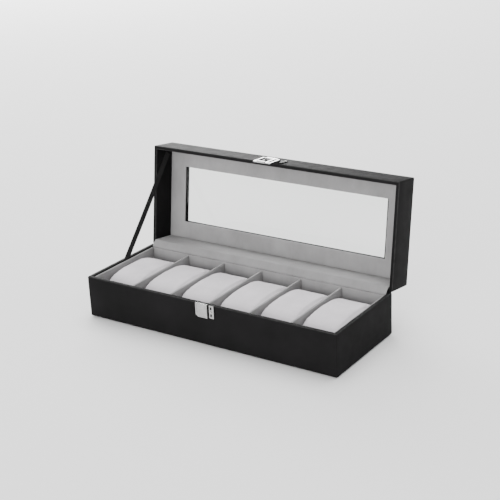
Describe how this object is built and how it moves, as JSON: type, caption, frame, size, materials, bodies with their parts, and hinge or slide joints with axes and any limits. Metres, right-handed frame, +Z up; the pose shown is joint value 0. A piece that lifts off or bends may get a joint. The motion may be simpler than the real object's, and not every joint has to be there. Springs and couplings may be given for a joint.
{
  "type": "watch box",
  "caption": "Leather-covered watch box standing open, velvet lined, with removable pillows between dividers, a windowed lid on a cloth hinge, a ribbon stay and a chrome hasp lock.",
  "frame": {"origin": "middle of the flat underside of the base", "axes": "+X along the length to the right, +Y from the front with the lock to the hinge at the back, +Z up"},
  "size_m": [0.304, 0.1628, 0.1637],
  "materials": {
    "leather": "black imitation leather, fine pebble grain, satin sheen",
    "velvet": "grey short-pile velvet on card",
    "pillow_velvet": "pale grey short-pile velvet over foam",
    "core_board": "raw fibreboard",
    "underside_felt": "black felt paper",
    "ribbon": "black woven ribbon",
    "metal": "chromed pressed steel, lightly brushed",
    "glass": "clear flat glass"
  },
  "bodies": {
    "base": {"base_leather": "leather", "hinge_leather": "leather", "floor_lining": "velvet", "front_lining": "velvet", "back_lining": "velvet", "left_lining": "velvet", "right_lining": "velvet", "divider_1": "velvet", "divider_2": "velvet", "divider_3": "velvet", "divider_4": "velvet", "divider_5": "velvet", "hinge_velvet": "velvet", "base_bottom_board": "core_board", "base_front_board": "core_board", "base_back_board": "core_board", "base_left_board": "core_board", "base_right_board": "core_board", "underside_sheet": "underside_felt", "lid_strap": "ribbon", "lock_plate": "metal", "lock_nail_left": "metal", "lock_nail_right": "metal"},
    "lid": {"lid_leather": "leather", "lid_top_board": "core_board", "lid_front_board": "core_board", "lid_back_board": "core_board", "lid_left_board": "core_board", "lid_right_board": "core_board", "window_glass": "glass", "window_lining": "velvet", "lid_back_lining": "velvet", "hasp_plate": "metal", "hasp_pin": "metal", "hasp_nail_1": "metal", "hasp_nail_2": "metal", "hasp_nail_3": "metal", "hasp_nail_4": "metal"},
    "hasp": {"hasp_loop": "metal"},
    "slider": {"lock_slider": "metal"},
    "pillow_1": {"watch_pillow_1": "pillow_velvet"},
    "pillow_2": {"watch_pillow_2": "pillow_velvet"},
    "pillow_3": {"watch_pillow_3": "pillow_velvet"},
    "pillow_4": {"watch_pillow_4": "pillow_velvet"},
    "pillow_5": {"watch_pillow_5": "pillow_velvet"},
    "pillow_6": {"watch_pillow_6": "pillow_velvet"}
  },
  "joints": [
    {"name": "lid_hinge", "type": "hinge", "parent": "base", "child": "lid", "pos_m": [0, 0.056, 0.046], "axis": [-1, 0, 0], "range_deg": [-98, 0], "deforming": ["lid_strap", "hinge_velvet", "hinge_leather"]},
    {"name": "hasp_hinge", "type": "hinge", "parent": "lid", "child": "hasp", "pos_m": [0.0022, 0.07645, 0.15916], "axis": [-1, 0, 0], "range_deg": [0, 150]},
    {"name": "slider_slide", "type": "slide", "parent": "base", "child": "slider", "axis": [1, 0, 0], "range_m": [-0.0025, 0], "stiffness_N_per_m": 300, "springref_m": 0.001},
    {"name": "pillow_1_lift", "type": "slide", "parent": "base", "child": "pillow_1", "axis": [0, 0, 1], "range_m": [0, 0.06]},
    {"name": "pillow_2_lift", "type": "slide", "parent": "base", "child": "pillow_2", "axis": [0, 0, 1], "range_m": [0, 0.06]},
    {"name": "pillow_3_lift", "type": "slide", "parent": "base", "child": "pillow_3", "axis": [0, 0, 1], "range_m": [0, 0.06]},
    {"name": "pillow_4_lift", "type": "slide", "parent": "base", "child": "pillow_4", "axis": [0, 0, 1], "range_m": [0, 0.06]},
    {"name": "pillow_5_lift", "type": "slide", "parent": "base", "child": "pillow_5", "axis": [0, 0, 1], "range_m": [0, 0.06]},
    {"name": "pillow_6_lift", "type": "slide", "parent": "base", "child": "pillow_6", "axis": [0, 0, 1], "range_m": [0, 0.06]}
  ]
}
